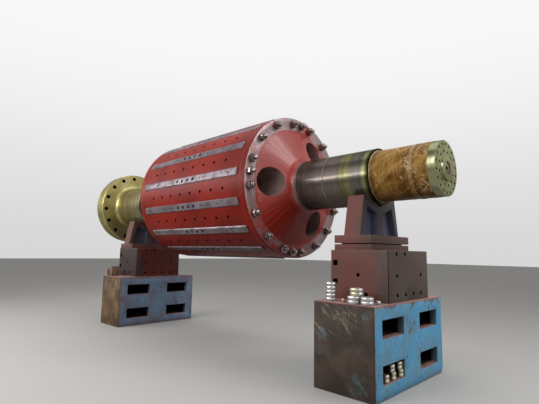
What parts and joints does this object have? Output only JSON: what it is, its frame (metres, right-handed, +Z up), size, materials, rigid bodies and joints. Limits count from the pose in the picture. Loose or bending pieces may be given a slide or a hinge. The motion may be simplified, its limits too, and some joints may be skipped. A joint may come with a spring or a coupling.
{
  "type": "hydroelectric generator rotor lying on two shop stands",
  "caption": "Generator rotor with coupling flange, drum and drilled shaft end, lying in vee blocks on two stands",
  "frame": {"origin": "on the floor, under the middle of the object's box", "axes": "+X along the rotor from the coupling flange to the drilled shaft end, +Z up"},
  "size_m": [7.1, 2.0236, 3.3418],
  "materials": {
    "red_drum": "gloss red-oxide paint",
    "machined_bar": "dull machined steel",
    "near_cone": "gloss red-oxide paint on the cone, bare steel outside it",
    "near_forging": "turned steel with oily bands",
    "far_cone": "gloss red-oxide paint on the cone, bare steel outside it",
    "far_forging": "turned steel",
    "oiled_flange": "turned steel under yellow-green rust-preventive oil",
    "bright_rod": "bright turned steel",
    "near_nut": "bright steel with red overspray",
    "far_nut": "bright steel with red overspray",
    "oiled_plug": "oiled steel",
    "waxed_film": "wrinkled brown waxed film",
    "pale_tape": "pale packing tape",
    "near_base": "chipped blue paint on cast iron",
    "near_riser": "dull red-brown primer",
    "near_plate": "dull red-brown primer",
    "near_vee": "dull red-brown primer, dark oiled ends",
    "far_base": "faded blue paint with rust",
    "far_riser": "dull red-brown primer",
    "far_vee": "dull red-brown primer, dark oiled ends",
    "packing_steel_1": "turned steel",
    "packing_steel_2": "turned steel",
    "packing_steel_3": "turned steel",
    "packing_steel_4": "turned steel",
    "packing_steel_5": "turned steel",
    "old_timber": "weathered timber"
  },
  "bodies": {
    "stands": {"near_base_block": "near_base", "near_riser_block": "near_riser", "near_levelling_plate": "near_plate", "near_vee_block": "near_vee", "far_base_block": "far_base", "far_riser_block": "far_riser", "far_vee_block": "far_vee", "packing_tier_1": "packing_steel_1", "packing_tier_2": "packing_steel_2", "packing_tier_3": "packing_steel_3", "packing_tier_4": "packing_steel_4", "packing_tier_5": "packing_steel_5", "timber_blocks": "old_timber"},
    "rotor": {"rotor_body": "red_drum", "pole_seat_bars": "machined_bar", "near_end_disc": "near_cone", "near_shaft": "near_forging", "far_end_disc": "far_cone", "far_shaft": "far_forging", "coupling_flange": "oiled_flange", "clamp_rods": "bright_rod", "near_rod_nuts": "near_nut", "far_rod_nuts": "far_nut", "centre_plug": "oiled_plug", "journal_wrap": "waxed_film", "tape_band": "pale_tape"}
  },
  "joints": [
    {"name": "rotor_turn", "type": "hinge", "parent": "stands", "child": "rotor", "pos_m": [0, 0, 2.33], "axis": [1, 0, 0], "continuous": true}
  ]
}
